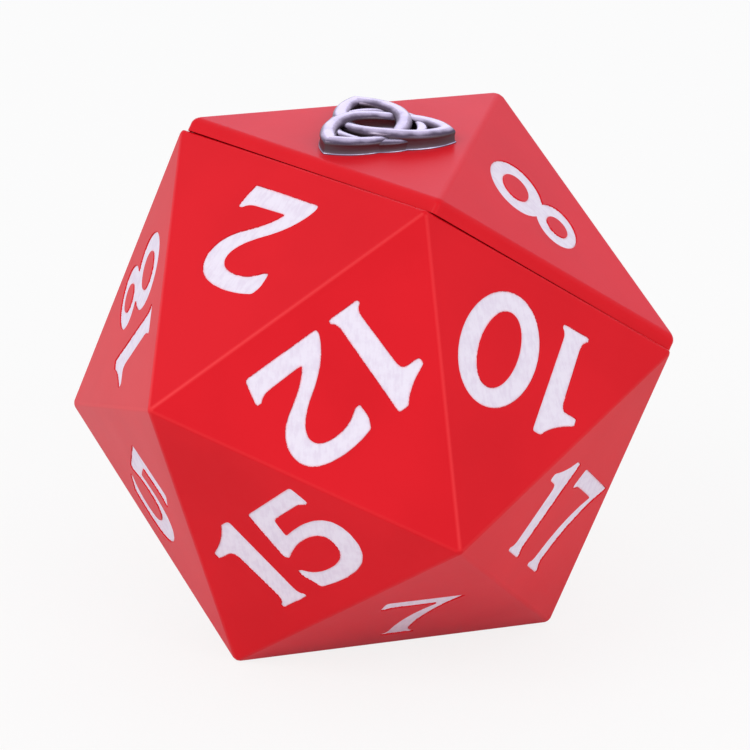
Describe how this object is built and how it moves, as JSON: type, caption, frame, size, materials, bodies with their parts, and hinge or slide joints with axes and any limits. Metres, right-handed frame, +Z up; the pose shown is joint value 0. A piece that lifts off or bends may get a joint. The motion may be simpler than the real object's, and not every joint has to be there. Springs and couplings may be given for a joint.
{
  "type": "dice storage chest",
  "caption": "Hollow storage box in the shape of a large twenty-sided die, with a five-faced lift-off corner lid, sunk painted numbers, a cast knot badge and a felt lining.",
  "frame": {"origin": "centre of the triangular face that the chest stands on", "axes": "+Z up; +Y towards the back, where the lid's point lies, so the face numbered 2 is at the front; the lid lifts along (0, 0.607, 0.795)"},
  "size_m": [0.1388, 0.1613, 0.1373],
  "materials": {
    "red_paint": "satin red paint over cast resin",
    "number_paint": "hand-filled off-white paint, satin",
    "antique_silver": "cast, polished high spots, dark wash in the hollows",
    "felt": "short black felt"
  },
  "bodies": {
    "base": {"base_shell": "red_paint", "base_lining": "felt", "number_1": "number_paint", "number_2": "number_paint", "number_3": "number_paint", "number_4": "number_paint", "number_5": "number_paint", "number_7": "number_paint", "number_9": "number_paint", "number_10": "number_paint", "number_11": "number_paint", "number_12": "number_paint", "number_13": "number_paint", "number_15": "number_paint", "number_17": "number_paint", "number_18": "number_paint", "number_19": "number_paint"},
    "lid": {"lid_shell": "red_paint", "lid_lining": "felt", "badge": "antique_silver", "number_6": "number_paint", "number_8": "number_paint", "number_14": "number_paint", "number_16": "number_paint"}
  },
  "joints": [
    {"name": "lid_lift", "type": "slide", "parent": "base", "child": "lid", "axis": [0, 0.6071, 0.7947], "range_m": [0, 0.09]}
  ]
}
